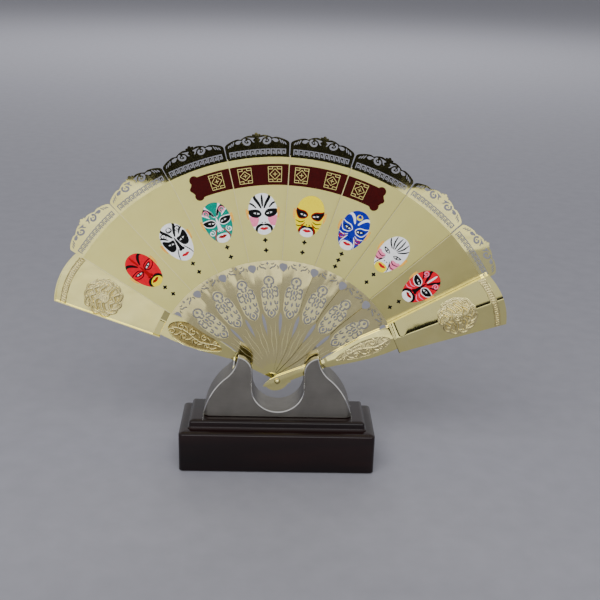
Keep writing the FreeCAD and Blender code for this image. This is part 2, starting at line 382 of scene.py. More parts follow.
def prism(name, section, start, end, finish):
    """A bar with the given cross-section, drawn in the (across, towards the viewer) plane."""
    start, end = Vector((start[0], 0, start[1])), Vector((end[0], 0, end[1]))
    along = (end - start).normalized()
    across = Vector((along.z, 0, -along.x))
    count = len(section)
    points = []
    for foot in (start, end):
        points += [(foot + across * a + Vector((0, -h, 0))) * MM for a, h in section]
    faces = [[i, (i + 1) % count, (i + 1) % count + count, i + count] for i in range(count)]
    faces += [list(range(count))[::-1], list(range(count, 2 * count))]
    mesh = new_mesh(name, points, faces, [finish])
    shade(mesh, 50)
    return mesh


def placement(*columns):
    """Matrix from its x, y and z axes and its origin."""
    matrix = Matrix.Identity(4)
    for column, axis in enumerate(columns):
        for row in range(3):
            matrix[row][column] = axis[row]
    return matrix


def blade_matrix(angle):
    turn = math.radians(angle)
    across = Vector((math.sin(turn), 0, -math.cos(turn)))
    along = Vector((math.cos(turn), 0, math.sin(turn)))
    return placement(across, Vector((0, 1, 0)), along, PIVOT)


# ---------------- materials

class Surface:
    """A Principled material whose colour, roughness and bump come from nodes."""

    def __init__(self, name, sockets):
        self.material = bpy.data.materials.new(name)
        self.material.use_nodes = True
        self.tree = self.material.node_tree
        self.shader = self.tree.nodes["Principled BSDF"]
        self.fill(self.shader, sockets)
        self.place = self.node("ShaderNodeTexCoord").outputs["Object"]

    def fill(self, node, sockets):
        for socket, value in sockets.items():
            node.inputs[socket.replace("_", " ")].default_value = value

    def node(self, kind, **sockets):
        made = self.tree.nodes.new(kind)
        self.fill(made, sockets)
        return made

    def link(self, source, node, socket):
        self.tree.links.new(source, node.inputs[socket])

    def noise(self, scale, detail=3.0, stretch=None, distortion=0.0):
        """Noise of the object's own coordinates, stretched where one axis is scaled less."""
        place = self.place
        if stretch:
            mapping = self.node("ShaderNodeMapping", Scale=stretch)
            self.link(place, mapping, "Vector")
            place = mapping.outputs["Vector"]
        made = self.node("ShaderNodeTexNoise", Scale=scale, Detail=detail, Distortion=distortion)
        self.link(place, made, "Vector")
        return made.outputs["Fac"]

    def ramp(self, factor, *tones):
        made = self.node("ShaderNodeValToRGB")
        for element, position, tone in zip(made.color_ramp.elements, NOISE_RANGE, tones):
            element.position = position
            element.color = (*tone, 1)
        self.link(factor, made, "Fac")
        return made.outputs["Color"]

    def spread(self, factor, low, high):
        made = self.node("ShaderNodeMapRange", From_Min=NOISE_RANGE[0], From_Max=NOISE_RANGE[1],
                         To_Min=low, To_Max=high)
        self.link(factor, made, "Value")
        return made.outputs["Result"]

    def bump(self, height, strength, distance):
        made = self.node("ShaderNodeBump", Strength=strength, Distance=distance)
        self.link(height, made, "Height")
        return made.outputs["Normal"]


def material(name, tones, mottle, rough=None, wear=None, grain=None, depth=None, **sockets):
    """A material from three noises, each (scale, detail, stretch, distortion).

    mottle mixes the two tones; wear spreads the roughness between the rough pair; grain is the
    height of the bump, whose depth is (strength, distance).
    """
    s = Surface(name, sockets)
    s.link(s.ramp(s.noise(*mottle), *tones), s.shader, "Base Color")
    if wear:
        s.link(s.spread(s.noise(*wear), *rough), s.shader, "Roughness")
    if grain:
        s.link(s.bump(s.noise(*grain), *depth), s.shader, "Normal")
    return s.material


def metal(name, tones, mottle, rough, wear, grain=None, depth=None):
    return material(name, tones, mottle, rough, wear, grain, depth, Metallic=1.0)


def gilt_satin(name, low, high):
    """Sand-blasted pale gold of the leaf panels."""
    return metal(name, (low, high), (35, 4), rough=(0.32, 0.40), wear=(260, 4),
                 grain=(5200, 2), depth=(0.10, 0.00003))


def enamel(name, low, high, roughness=0.28):
    """Printed enamel: gloss colour with slight mottling and orange peel."""
    return material("enamel_" + name, (low, high), (900, 3), rough=(roughness, roughness + 0.1),
                    wear=(700, 3), grain=(1500, 2), depth=(0.08, 0.00004), Specular_IOR_Level=0.12)


SATIN = gilt_satin("gilt_satin", (0.91, 0.83, 0.275), (0.95, 0.88, 0.32))
# The second satin is the same pale gold painted darker: painted shade for the last leaf's panel
SATIN_AND_PAINTED_SHADE = (SATIN, gilt_satin("gilt_satin_painted_shade", (0.58, 0.51, 0.19), (0.70, 0.63, 0.25)))

# Mirror gilt of crests and guards, with faint polishing marks
POLISHED = metal("gilt_polished", ((0.96, 0.86, 0.32), (0.99, 0.91, 0.39)), (50, 3),
                 rough=(0.025, 0.055), wear=(420, 4, (1.0, 1.0, 0.12)),
                 grain=(70, 2), depth=(0.05, 0.0005))

# Thin polished sheet of the leaves' sticks, gently buckled along each stick
WAVY = metal("gilt_wavy", ((0.90, 0.79, 0.36), (0.95, 0.85, 0.43)), (50, 3),
             rough=(0.05, 0.10), wear=(420, 4),
             grain=(1.0, 1.5, (52, 1, 19), 0.4), depth=(0.55, 0.0012))

# Pale frosted gilt: the ground of the sticks' scrollwork and the leaves' hems, and the pale wavy lines
# down the sticks, which are painted highlights
RIM = metal("gilt_rim", ((0.95, 0.86, 0.43), (0.98, 0.90, 0.52)), (400, 3),
            rough=(0.42, 0.52), wear=(500, 3), grain=(3000, 2), depth=(0.25, 0.00005))

# Embossed parts of the guards, a little duller than the smooth facets
RELIEF = metal("gilt_relief", ((0.86, 0.74, 0.32), (0.92, 0.81, 0.40)), (60, 3),
               rough=(0.20, 0.27), wear=(600, 4), grain=(1800, 2), depth=(0.06, 0.00005))

# Gilt painted darker in the hollows of the rear guard's stick, as shade
HOLLOW_SHADE = metal("gilt_hollow_painted_shade", ((0.42, 0.32, 0.10), (0.56, 0.44, 0.16)), (300, 3),
               rough=(0.20, 0.30), wear=(700, 3), grain=(1800, 2), depth=(0.2, 0.00005))

# Dark gilt painted round each piercing of the sticks and on the leaves' cut edges, as shade
LIP_SHADE = metal("gilt_lip_painted_shade", ((0.13, 0.12, 0.09), (0.20, 0.18, 0.13)), (300, 3),
            rough=(0.35, 0.50), wear=(700, 3), grain=(1800, 2), depth=(0.2, 0.00005))

# Satin cast pewter, brushed along X, and its polished edges, whose colour is painted much lighter than
# the faces as a highlight
PEWTER = metal("pewter_satin", ((0.222, 0.209, 0.188), (0.280, 0.266, 0.237)), (70, 5),
               rough=(0.36, 0.48), wear=(900, 4, (0.05, 1.0, 1.0)),
               grain=(2600, 3, (0.06, 1.0, 1.0)), depth=(0.12, 0.00004))
PEWTER_EDGE_HIGHLIGHT = metal("pewter_edge_highlight", ((0.72, 0.71, 0.68), (0.82, 0.81, 0.78)), (120, 3),
               rough=(0.14, 0.22), wear=(800, 3))

ZINC = metal("screw_steel", ((0.50, 0.50, 0.51), (0.62, 0.62, 0.63)), (300, 3),
             rough=(0.25, 0.38), wear=(900, 3))

# Dark stained wood under lacquer, with a faint grain along X
WOOD = material("lacquered_wood", ((0.0020, 0.0008, 0.0008), (0.009, 0.0026, 0.0024)),
                (55, 6, (0.08, 1.0, 1.0), 1.2), rough=(0.20, 0.26), wear=(200, 2),
                grain=(500, 4, (0.1, 1.0, 1.0)), depth=(0.02, 0.0001), Specular_IOR_Level=0.42)

FELT = material("felt", ((0.012, 0.012, 0.014), (0.05, 0.05, 0.055)), (1500, 5),
                grain=(2200, 4), depth=(0.8, 0.0003), Roughness=0.95)

PAINTS = {name: enamel(name, *looks) for name, *looks in (
    ("red", (0.60, 0.0, 0.014), (0.72, 0.001, 0.020)),
    ("crimson", (0.30, 0.0005, 0.002), (0.40, 0.001, 0.004)),
    ("black", (0.0008, 0.0008, 0.001), (0.003, 0.003, 0.0035)),
    ("white", (0.78, 0.79, 0.80), (0.90, 0.91, 0.92)),
    ("teal", (0.0, 0.20, 0.14), (0.001, 0.30, 0.22)),
    ("yellow", (0.87, 0.69, 0.0), (0.93, 0.76, 0.0)),
    ("blue", (0.004, 0.010, 0.26), (0.010, 0.022, 0.38)),
    ("pink", (0.86, 0.16, 0.32), (0.94, 0.27, 0.42)),
    ("orange", (0.86, 0.40, 0.04), (0.94, 0.50, 0.08)),
    ("maroon", (0.030, 0.0002, 0.0002), (0.048, 0.0006, 0.0004), 0.34),
)}


# ---------------- leaves

def leaf_half(r):
    return EDGE_OFFSET + EDGE_SLOPE * r


def leaf_side(underlap):
    """Right side of a leaf from the middle of its crest down to its tail."""
    finial = smooth([(0, 178.3), (0.9, 177.9), (1.1, 177.2)], steps=3)
    leaflet = smooth([(1.2, 177.1), (2.2, 177.3), (2.9, 176.7), (2.6, 176.1)], steps=3)
    inner_lobe = smooth([(2.8, 176.2), (5.0, 176.5), (8.0, 175.7), (10.7, 174.2)], steps=5)
    outer_lobe = smooth([(11.0, 174.3), (13.2, 174.5), (16.6, 173.4), (19.6, 171.9), (21.0, 170.8),
                         (leaf_half(CREST_CORNER), CREST_CORNER)], steps=4)
    side = finial + leaflet + inner_lobe + outer_lobe
    if underlap:
        top, bottom = leaf_half(UNDERLAP_TOP), leaf_half(UNDERLAP_BOTTOM)
        side += [(top, UNDERLAP_TOP), (top + UNDERLAP, UNDERLAP_TOP - UNDERLAP)]
        side += [(bottom + UNDERLAP, UNDERLAP_BOTTOM + UNDERLAP), (bottom, UNDERLAP_BOTTOM)]
    side.append((leaf_half(PANEL_FOOT), PANEL_FOOT))
    hole_x = HOLE_R * math.tan(math.radians(LEAF_PITCH / 2))
    notch = ((0.4, 3.1), (-1.9, 2.7), (-2.8, 1.5), (-2.8, -0.2), (-1.9, -1.8), (-0.4, -3.4))
    side += [(hole_x + across, HOLE_R + along) for across, along in notch]
    side += smooth([(10.3, 79.0), (9.9, 74), (9.2, 66), (8.2, 57.5), (7.0, 51.5)], steps=4)
    side += smooth([(5.3, 48.0), (4.5, 43.5), (4.2, 39), (4.3, 34), (3.9, 28.5), (3.3, 21), (3.4, 10),
                    (LEAF_TAIL_HALF, 0)], steps=4)
    side.append((LEAF_TAIL_HALF, LEAF_TAIL + LEAF_TAIL_HALF))
    return side


def leaf_outline():
    tail = arc(0, LEAF_TAIL + LEAF_TAIL_HALF, LEAF_TAIL_HALF, 0, -180, 12)[1:-1]
    left = flipped(leaf_side(False))[::-1]
    return leaf_side(True) + tail + left[:-1]


def on_arc(shapes, x, r):
    """The shapes, drawn about (0, 0), moved to x on the arc of radius r."""
    return [bend([(x + a, r + b) for a, b in shape], r) for shape in shapes]


def key_fret():
    """The pierced fret below the crest: a row of square spirals."""
    slot = square_ribbon([(-1.25, -1.95), (-1.25, 1.75), (1.2, 1.75), (1.2, -0.95), (0.0, -0.95),
                          (0.0, 0.6)], FRET_SLOT)
    places = [(i - (FRET_UNITS - 1) / 2) * FRET_PITCH for i in range(FRET_UNITS)]
    return [hole for x in places for hole in on_arc([slot], x, FRET_R)]


def crest_piercings():
    """Scrolls, commas and slashes of the crest's right half, then of both."""
    wing = patch([(1.5, 172.0), (2.5, 173.4), (1.3, 174.6), (3.2, 175.0), (6.2, 175.2),
                  (4.2, 174.2), (3.3, 173.0), (2.4, 171.9)], 4)
    scroll = stroke([(5.7, 173.3), (4.7, 172.2), (5.3, 170.9), (7.1, 170.7), (8.7, 171.8),
                     (8.9, 173.3), (7.9, 174.2)], 1.35)
    pearl = circle(7.0, 172.6, 0.55, 10)
    comma = patch([(9.9, 173.1), (11.4, 173.6), (13.6, 173.1), (14.3, 171.9), (13.2, 171.1),
                   (11.6, 171.4), (10.9, 172.3)], 4)
    right = [wing, scroll, pearl, comma]
    for x, r, reach in ((15.7, 171.5, 1.25), (17.2, 170.7, 1.15), (18.7, 169.9, 0.9)):
        right.append(stroke([(x - 0.45, r + reach), (x + 0.1, r), (x + 0.5, r - reach)], 0.75, 0.3))
    return right + [flipped(hole) for hole in right]


# Strokes of the stick's right half, each (path, width), and the drops down its middle, each
# (r, half width, half height)
FILIGREE = [
    ([(1.6, 83.4), (2.9, 84.4), (4.4, 84.6), (5.6, 86.0)], 0.7),
    ([(2.4, 87.0), (3.6, 86.6), (4.6, 87.4)], 0.5),
    ([(6.6, 85.4), (7.2, 84.2), (7.0, 82.8)], 0.5),
    ([(0.6, 69.6), (1.5, 70.6), (1.3, 72.2), (2.7, 72.6), (3.3, 74.6), (2.4, 76.8),
      (0.35, 77.9)], 0.85),
    ([(3.0, 69.4), (4.3, 69.9), (5.3, 68.8), (5.2, 67.2), (4.0, 66.6), (3.2, 67.5)], 0.8),
    ([(5.3, 66.4), (5.5, 64.3), (4.7, 62.8), (3.5, 63.2)], 0.7),
    ([(1.6, 68.4), (2.2, 66.6), (1.4, 64.8), (2.2, 63.0), (1.5, 61.2)], 0.75),
    ([(5.0, 58.9), (4.5, 57.2), (3.3, 57.5), (3.0, 59.4)], 0.7),
    ([(4.1, 55.7), (4.4, 53.7), (3.4, 52.4), (2.7, 53.8)], 0.7),
    ([(1.2, 52.9), (2.4, 51.4), (2.3, 49.4), (1.2, 48.3), (0.35, 47.3)], 0.8),
]
FILIGREE_DROPS = ((87.4, 0.55, 0.9), (75.3, 0.8, 1.2), (66.6, 0.6, 1.7), (62.9, 0.5, 1.1),
                  (57.6, 0.5, 1.6), (50.6, 0.85, 1.2))


def filigree(extra=0.0):
    """Pierced scrollwork of the stick; extra widens every stroke, for the dark lips painted round the
    piercings as shade.
    """
    half = []
    for path, width in FILIGREE:
        taper = 0.0 if width > 0.6 else 0.4
        half.append(stroke(path, SCROLL_SLIMMING * width + 2 * extra, taper))
    middle = []
    for r, wide, tall in FILIGREE_DROPS:
        wide, tall = wide + extra, tall + extra
        middle.append(patch([(0, r + tall), (wide, r), (0, r - tall), (-wide, r)], 3))
    return half + [flipped(hole) for hole in half] + middle


def motif_field():
    """Frosted ground that the stick's scrollwork is pierced through."""
    side = smooth([(0.0, 79.2), (1.8, 78.5), (3.2, 76.8), (3.9, 74.3), (3.6, 71.8), (5.5, 69.9),
                   (6.3, 66.0), (6.1, 60.5), (5.7, 55.0), (4.6, 51.2), (2.4, 48.0), (0.0, 46.5)],
                  steps=3)
    return side + flipped(side)[-2:0:-1]


def stick_highlight_waves():
    """Pale wavy lines down the narrow lower end of the stick: painted highlights of its buckled sheet.
    """
    lines = []
    for sway, start, end in ((1.9, 19, 45), (-1.5, 17, 43)):
        path = [(sway * (0.45 + r / 75) + 0.3 * math.sin(r / 2.3 + sway), r)
                for r in range(start, end)]
        lines.append(ribbon(path, 0.3, 0.8))
    return lines


def leaf_sheet(number, near, far):
    """One leaf with its piercings: polished crest, satin panel and wavy polished stick."""
    satin, wavy, rim, lip = 1, 2, 3, 4
    panel = band(SATIN_FOOT, CREST_FOOT, -30.0, 30.0, 40)
    stick = band(STICK_FINISH_FOOT, SATIN_FOOT, -18.0, 18.0, 24)
    holes = key_fret() + crest_piercings() + filigree() + [circle(0, 0, BORE_RADIUS, 24)]
    zones = [(panel, satin), (stick, wavy), (motif_field(), rim)]
    # The stick's pale wavy lines are painted highlights.
    zones += [(wave, rim) for wave in stick_highlight_waves()]
    # Lips round the piercings and all cut edges of the leaf are painted dark, as shade.
    zones += [(edge, lip) for edge in filigree(LIP_WIDTH)]
    # The last leaf's panel takes the darker satin, which is painted shade.
    return cut_sheet("leaf_%d_sheet" % number, leaf_outline(), zones, holes, near, far,
                     [POLISHED, SATIN_AND_PAINTED_SHADE[number == LEAVES], WAVY, RIM, LIP_SHADE], lip)


def leaf_hem(number, near):
    """Raised bright edge on the leaf's left side."""
    half, height = 0.25, 0.10
    section = [(half * math.cos(t), height * math.sin(t) - near)
               for t in [math.pi * i / 8 for i in range(9)]]
    start = (-leaf_half(HEM_FOOT) + half, HEM_FOOT)
    end = (-leaf_half(CREST_FOOT) + half, CREST_FOOT)
    return prism("leaf_%d_hem" % number, section, start, end, RIM)


# ---------------- banner

def banner_end():
    """Right end of the banner: two lobes and a nib, from the lower edge to the upper."""
    lower = [(1.0, BANNER_INNER), (2.4, 142.3)] + arc(4.9, 144.0, 3.2, 220, 395, 12)
    nib = arc(7.9, 149.6, 1.9, -65, 65, 8)
    upper = arc(4.9, 155.2, 3.2, -35, 140, 12) + [(2.4, 156.9), (1.0, BANNER_OUTER)]
    return lower + nib + upper


def fret_spot(x, seed):
    """A gilt lattice square: frame, diamond, corners and a small cross; nothing is written in it."""
    half, height, line_width, cross = 4.4, 5.1, 0.40, 1.3
    wide, tall = half - 0.9, 3.1 + 0.5 * (seed % 2)
    corner_x, corner_r = 1.5, height - 1.6
    lines = [[(-half, -height), (half, -height), (half, height), (-half, height), (-half, -height)],
             [(-wide, 0), (0, tall), (wide, 0), (0, -tall), (-wide, 0)]]
    for sx in (-1, 1):
        for sr in (-1, 1):
            lines.append([(sx * corner_x, sr * height), (sx * corner_x, sr * corner_r),
                          (sx * half, sr * corner_r)])
    lines += [[(0, -cross), (0, cross)], [(-cross, 0), (cross, 0)]]
    marks = [ribbon([a, b], line_width) for path in lines for a, b in zip(path, path[1:])]
    return on_arc(marks, x, BANNER_MIDDLE)


def banner(number, near):
    """The banner's stretch on one leaf, with its gilt lattice spots."""
    left, right = -leaf_half(BANNER_OUTER) + 0.55, leaf_half(BANNER_OUTER) - 0.2
    steps = 10
    if number == 3:
        outline = band(BANNER_INNER, BANNER_OUTER, -1.0, right, steps)
        outline += flipped(banner_end())[::-1][1:-1]
    elif number == 6:
        edge = band(BANNER_INNER, BANNER_OUTER, left, 1.0, steps)
        outline = edge[:steps + 1] + banner_end()[1:-1] + edge[steps + 1:]
    else:
        outline = band(BANNER_INNER, BANNER_OUTER, left, right, 18)
    spots = {3: (9.4,), 4: (-9.7, 10.3), 5: (-10.6, 10.1), 6: (-8.8,)}[number]
    zones = []
    for i, x in enumerate(spots):
        zones += [(mark, 1) for mark in fret_spot(x, number + i)]
    return cut_sheet("leaf_%d_banner" % number, outline, zones, [], near - ENAMEL_HEIGHT, near,
                     [PAINTS["maroon"], SATIN])


# ---------------- masks

def face_outline():
    """Egg-shaped face: broad forehead and a narrower chin."""
    count = 48
    points = []
    for i in range(count):
        t = 2 * math.pi * i / count
        s = math.sin(t)
        width = MASK_HALF_WIDTH * (1 + 0.10 * s - 0.05 * (1 - s * s))
        points.append((width * math.cos(t) * 1.02, MASK_R + MASK_HALF_HEIGHT * s))
    return points


def both(shape, paint):
    """The shape and its mirror image, placed about the mask's middle."""
    placed = [(x, MASK_R + r) for x, r in shape]
    return [(placed, paint), (flipped(placed), paint)]


def single(shape, paint):
    return [([(x, MASK_R + r) for x, r in shape], paint)]


def painted_eye():
    """A calm almond eye at mid height, with black lids and pupil."""
    lids = patch([(1.5, 0.1), (3.0, 1.5), (5.0, 2.0), (7.6, 1.9), (6.6, 0.4), (4.6, -0.6), (2.8, -0.5)])
    almond = patch([(2.2, 0.2), (3.5, 1.0), (5.0, 1.3), (6.4, 1.2), (5.4, 0.4), (3.8, 0.0)])
    pupil = circle(4.4, 0.65, 0.62, 12)
    return both(lids, "black") + both(almond, "white") + both(pupil, "black")


# Painted strokes of a face's right half, each (path, width), about the mask's middle
ACCENTS = {
    "rays": [([(0.7, 4.2), (1.5, 8.6), (1.3, 13.6)], 1.05),
             ([(1.6, 4.0), (4.0, 8.2), (4.9, 12.6)], 1.05),
             ([(2.6, 3.8), (6.2, 6.6), (8.2, 9.4)], 1.05)],
    "brows": [([(1.2, 5.0), (3.4, 8.6), (6.2, 10.6), (9.0, 9.6)], 2.0)],
    "horns": [([(1.0, 4.2), (2.8, 8.0), (4.9, 11.4), (5.2, 14.2)], 2.0),
              ([(4.4, 4.6), (7.0, 7.2), (9.4, 8.2)], 1.3)],
    "moustache": [([(0.2, -7.5), (2.6, -7.6), (4.9, -9.6), (5.3, -13.2)], 1.9)],
    "creases": [([(2.4, -4.4), (3.7, -6.8), (4.8, -9.2), (5.3, -11.8)], 0.75)],
    "whiskers": [([(2.6, -3.2), (5.4, -4.6), (8.9, -3.6)], 0.7),
                 ([(2.9, -5.4), (5.6, -7.4), (8.4, -7.0)], 0.7)],
    "temple_curls": [(spiral(6.0, 8.3, 2.3, 250, -1.35), 0.8)],
    "cheek_curls": [(spiral(6.1, -6.0, 2.3, 110, 1.35), 0.8)],
    "crescent": [(spiral(0.0, 9.6, 2.3, 100, 0.7), 0.9)],
    "spindle": [([(0, 13.4), (0, 9.6), (0, 5.4)], 1.5)],
}

# Painted patches round the right eye
PATCHES = {
    "wide": [(1.0, 1.2), (3.4, 3.6), (7.4, 4.2), (10.2, 5.2), (9.2, 1.2), (7.2, -1.9), (4.0, -2.1),
             (1.9, -1.0)],
    "drooping": [(1.2, 2.4), (4.6, 3.2), (8.2, 5.6), (9.2, 2.8), (7.8, -3.0), (5.2, -4.6), (2.6, -2.9)],
    "winged": [(0.9, 0.2), (2.8, 3.0), (6.4, 3.6), (10.4, 2.8), (8.6, -0.9), (4.8, -2.4), (2.4, -1.8)],
}


CHEEK = patch([(3.2, -2.4), (7.4, -1.2), (11.0, -3.0), (8.6, -7.8), (5.4, -8.2), (3.6, -5.6)])
NOSE = patch([(0, 4.4), (0.9, 0.0), (1.3, -4.0), (2.2, -5.6), (1.2, -6.6), (0, -6.3),
              (-1.2, -6.6), (-2.2, -5.6), (-1.3, -4.0), (-0.9, 0.0)])
CHIN = patch([(0, -8.0), (3.6, -8.8), (4.6, -11.4), (3.2, -14.6), (0, -16.5),
              (-3.2, -14.6), (-4.6, -11.4), (-3.6, -8.8)])
LIPS = patch([(0, -9.5), (1.2, -9.1), (3.0, -10.0), (1.4, -11.0), (0, -11.3), (-1.4, -11.0),
              (-3.0, -10.0), (-1.2, -9.1)])

# Colours of one face; under and over name the strokes below and above its eye patches, and
# eyes gives the patch's shape, rim and filling
Design = namedtuple("Design", "base cheek under eyes nose chin over lips")

MASKS = {
    1: Design("red", None, [("brows", "black")], ("winged", "black", "red"),
              "crimson", "yellow", [("moustache", "black"), ("spindle", "crimson")], "crimson"),
    2: Design("white", None, [("horns", "black"), ("temple_curls", "black")],
              ("drooping", "black", "black"),
              "black", "white", [("creases", "black"), ("crescent", "black")], "red"),
    3: Design("teal", "teal", [("horns", "white"), ("brows", "black")], ("winged", "white", "black"),
              "white", "white",
              [("temple_curls", "pink"), ("cheek_curls", "white"), ("creases", "crimson")], "crimson"),
    4: Design("white", "pink", [("horns", "black")], ("winged", "black", "black"),
              "white", None, [("spindle", "black"), ("moustache", "black")], "red"),
    5: Design("yellow", None, [("whiskers", "black")], ("wide", "crimson", "black"),
              "yellow", "white", [("moustache", "black"), ("creases", "crimson")], "red"),
    6: Design("blue", None, [("brows", "white"), ("whiskers", "white")], ("wide", "white", "blue"),
              "blue", "white",
              [("crescent", "yellow"), ("cheek_curls", "crimson"), ("creases", "white")], "red"),
    7: Design("white", "pink", [("rays", "black")], ("wide", "white", "white"),
              "white", "yellow", [("creases", "black"), ("whiskers", "black")], "red"),
    8: Design("red", None, [("horns", "black"), ("whiskers", "pink")], ("winged", "white", "black"),
              "black", "white",
              [("spindle", "white"), ("moustache", "black"), ("temple_curls", "pink")], "crimson"),
}


def accents(chosen, taper):
    return [zone for name, paint in chosen for path, width in ACCENTS[name]
            for zone in both(stroke(path, width, taper), paint)]


def painted_mask(design):
    """All painted zones of one face, in the order they are laid on."""
    shape, rim, fill = design.eyes
    outer = PATCHES[shape]
    inner = [(5.4 + (x - 5.4) * 0.86, 0.6 + (r - 0.6) * 0.80) for x, r in outer]
    zones = both(CHEEK, design.cheek) if design.cheek else []
    zones += accents(design.under, 0.6) + both(patch(outer), rim) + both(patch(inner), fill)
    zones += painted_eye() + single(NOSE, design.nose) + both(circle(1.0, -6.0, 0.45, 10), "black")
    zones += single(CHIN, design.chin) if design.chin else []
    zones += accents(design.over, 0.5) + single(LIPS, design.lips)
    zones += single(ribbon([(-2.7, -10.0), (0, -10.15), (2.7, -10.0)], 0.3, 0.4), "black")
    return zones


def mask(number, near):
    base = MASKS[number].base
    zones = painted_mask(MASKS[number])
    names = [base] + sorted({paint for _, paint in zones} - {base})
    painted = [(shape, names.index(paint)) for shape, paint in zones]
    return cut_sheet("leaf_%d_mask" % number, face_outline(), painted, [], near - ENAMEL_HEIGHT, near,
                     [PAINTS[name] for name in names])


def enamel_piece(name, outline, paint, thickness, near):
    return cut_sheet(name, outline, [], [], near - ENAMEL_HEIGHT * thickness, near, [PAINTS[paint]])


def mask_ears(number, near):
    """Small painted ears on both sides of the face."""
    ear = patch([(9.9, 3.2), (11.3, 4.0), (11.5, 1.4), (10.9, -1.8), (9.9, -3.4), (9.75, 0.0)])
    return [enamel_piece("leaf_%d_ear_%s" % (number, side), shape, "orange", 0.8, near)
            for side, (shape, _) in zip(("right", "left"), both(ear, 0))]


def floret(name, r, near):
    """A tiny dark four-petalled mark below a mask."""
    count, petals = 32, 4
    points = []
    for i in range(count):
        t = 2 * math.pi * i / count
        reach = 1.35 + 0.4 * math.cos(petals * t)
        points.append(polar(0, r, reach, t))
    return enamel_piece(name, points, "black", 0.7, near)


def make_leaf(number):
    low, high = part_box("leaf_%d" % number)
    near, far = low.y / MM, high.y / MM
    body = "leaf_%d" % number
    matrix = blade_matrix(LEAF_FIRST_ANGLE - (number - 1) * LEAF_PITCH)
    sheet = leaf_sheet(number, near, far)
    make_object(sheet, body, matrix, [body])
    make_object(leaf_hem(number, near), body, matrix)
    enamels = [mask(number, near)] + mask_ears(number, near)
    for i, r in enumerate(LONG_FLORET_ROWS if number == 6 else FLORET_ROWS):
        enamels.append(floret("leaf_%d_floret_%d" % (number, i + 1), r, near))
    if number in (3, 4, 5, 6):
        enamels.append(banner(number, near))
    for mesh in enamels:
        make_object(mesh, body, matrix)


# ---------------- guards

def guard_half(r):
    return GUARD_OFFSET + GUARD_SLOPE * r


def emboss(x, r, strokes):
    """Height of rounded cords that follow the strokes; each is (points, radius, height)."""
    height = np.zeros_like(x)
    for points, radius, amount in strokes:
        xs, rs = [p[0] for p in points], [p[1] for p in points]
        near = ((x > min(xs) - radius) & (x < max(xs) + radius)
                & (r > min(rs) - radius) & (r < max(rs) + radius))
        if not near.any():
            continue
        px, pr = x[near], r[near]
        gap = np.full(px.shape, 1e9)
        for (ax, ar), (bx, br) in zip(points, points[1:]):
            dx, dr = bx - ax, br - ar
            length = max(dx * dx + dr * dr, 1e-9)
            t = np.clip(((px - ax) * dx + (pr - ar) * dr) / length, 0, 1)
            gap = np.minimum(gap, (px - ax - t * dx) ** 2 + (pr - ar - t * dr) ** 2)
        cord = 1.2 * amount * np.clip(1 - gap / radius ** 2, 0, 1)
        height[near] = np.maximum(height[near], cord)
    return height


def around(x, r, *places):
    """A smooth path given as (degrees, distance) about (x, r)."""
    return smooth([polar(x, r, reach, math.radians(degrees)) for degrees, reach in places])


def medallion(x, r):
    """Strokes of a roundel of rolling waves and curling clouds about (x, r)."""
    chance = random.Random(11)
    strokes = []
    for turn in (30, 210):
        strokes.append((spiral(x, r, 3.6, turn, 1.1, end=0.1), 1.0, 0.80))
    for offset, reach in ((7.4, 6.6), (2.9, 9.6), (-2.7, 9.8), (-7.2, 6.8)):
        lean = chance.uniform(-0.9, 0.9)
        sweep = [(x - reach, r + offset - 1.5), (x - 0.45 * reach, r + offset + 1.8 + lean),
                 (x + 0.05 * reach, r + offset - 0.7), (x + 0.5 * reach, r + offset + 1.5 - lean),
                 (x + reach, r + offset - 1.0)]
        strokes.append((smooth(sweep, steps=4), 1.05, 0.75))
        strokes.append((smooth([(a + 0.8, b - 1.7) for a, b in sweep], steps=4), 0.45, 0.42))
    for i in range(11):
        a = 360 / 11 * i + chance.uniform(-6, 6)
        reach = ROUNDEL_RADIUS - 1.4 + chance.uniform(-0.4, 0.4)
        lick = around(x, r, (a - 20, 10.2), (a - 4, reach), (a + 10, reach + 0.9),
                      (a + 19, reach - 0.4), (a + 11, reach - 1.2))
        strokes.append((lick, 0.75, 0.50))
        strokes.append((around(x, r, (a - 12, 9.9), (a + 2, 10.9), (a + 12, 11.0)), 0.4, 0.34))
    for i in range(24):
        a = chance.uniform(0, 360)
        reach = chance.uniform(3.0, 12.6)
        swing = chance.uniform(60, 110) / reach
        hair = around(x, r, (a, reach), (a + swing / 2, reach + 0.8), (a + swing, reach))
        strokes.append((hair, 0.36, 0.30))
    return strokes


def dash_row(span, middle, sag):
    """Strokes of a row of short dashes between two fine lines near the guard's end."""
    strokes = []
    for t in np.linspace(-1, 1, 21):
        cr = middle - sag * t * t
        strokes.append(([(span * t, cr - 0.8), (span * t + 0.25, cr + 0.8)], 0.42, 0.34))
    for offset in (-1.9, 1.9):
        line = [(1.02 * span * t, middle + offset - sag * t * t) for t in np.linspace(-1, 1, 24)]
        strokes.append((line, 0.32, 0.26))
    return strokes


def stick_scrolls():
    """Strokes of the running scroll on a guard's stick."""
    strokes = []
    stem = [(1.5 * math.sin((r - 40) / 4.6), r) for r in range(46, 85, 1)]
    strokes.append((smooth(stem, steps=2), 0.62, 0.7))
    side = 1
    for i in range(8):
        r = 50.5 + i * 4.6
        reach = stick_half(r) * 0.34
        radius = stick_half(r) * 0.30
        curl = spiral(side * reach, r, radius, 90 - side * 60, side * 1.15, end=0.3)
        strokes.append((curl, 0.62, 0.75))
        tail = [(-side * reach * 0.3, r - 1.6), (-side * reach * 1.2, r + 0.2),
                (-side * reach * 1.5, r + 2.4)]
        strokes.append((smooth(tail, steps=4), 0.55, 0.6))
        side = -side
    return strokes


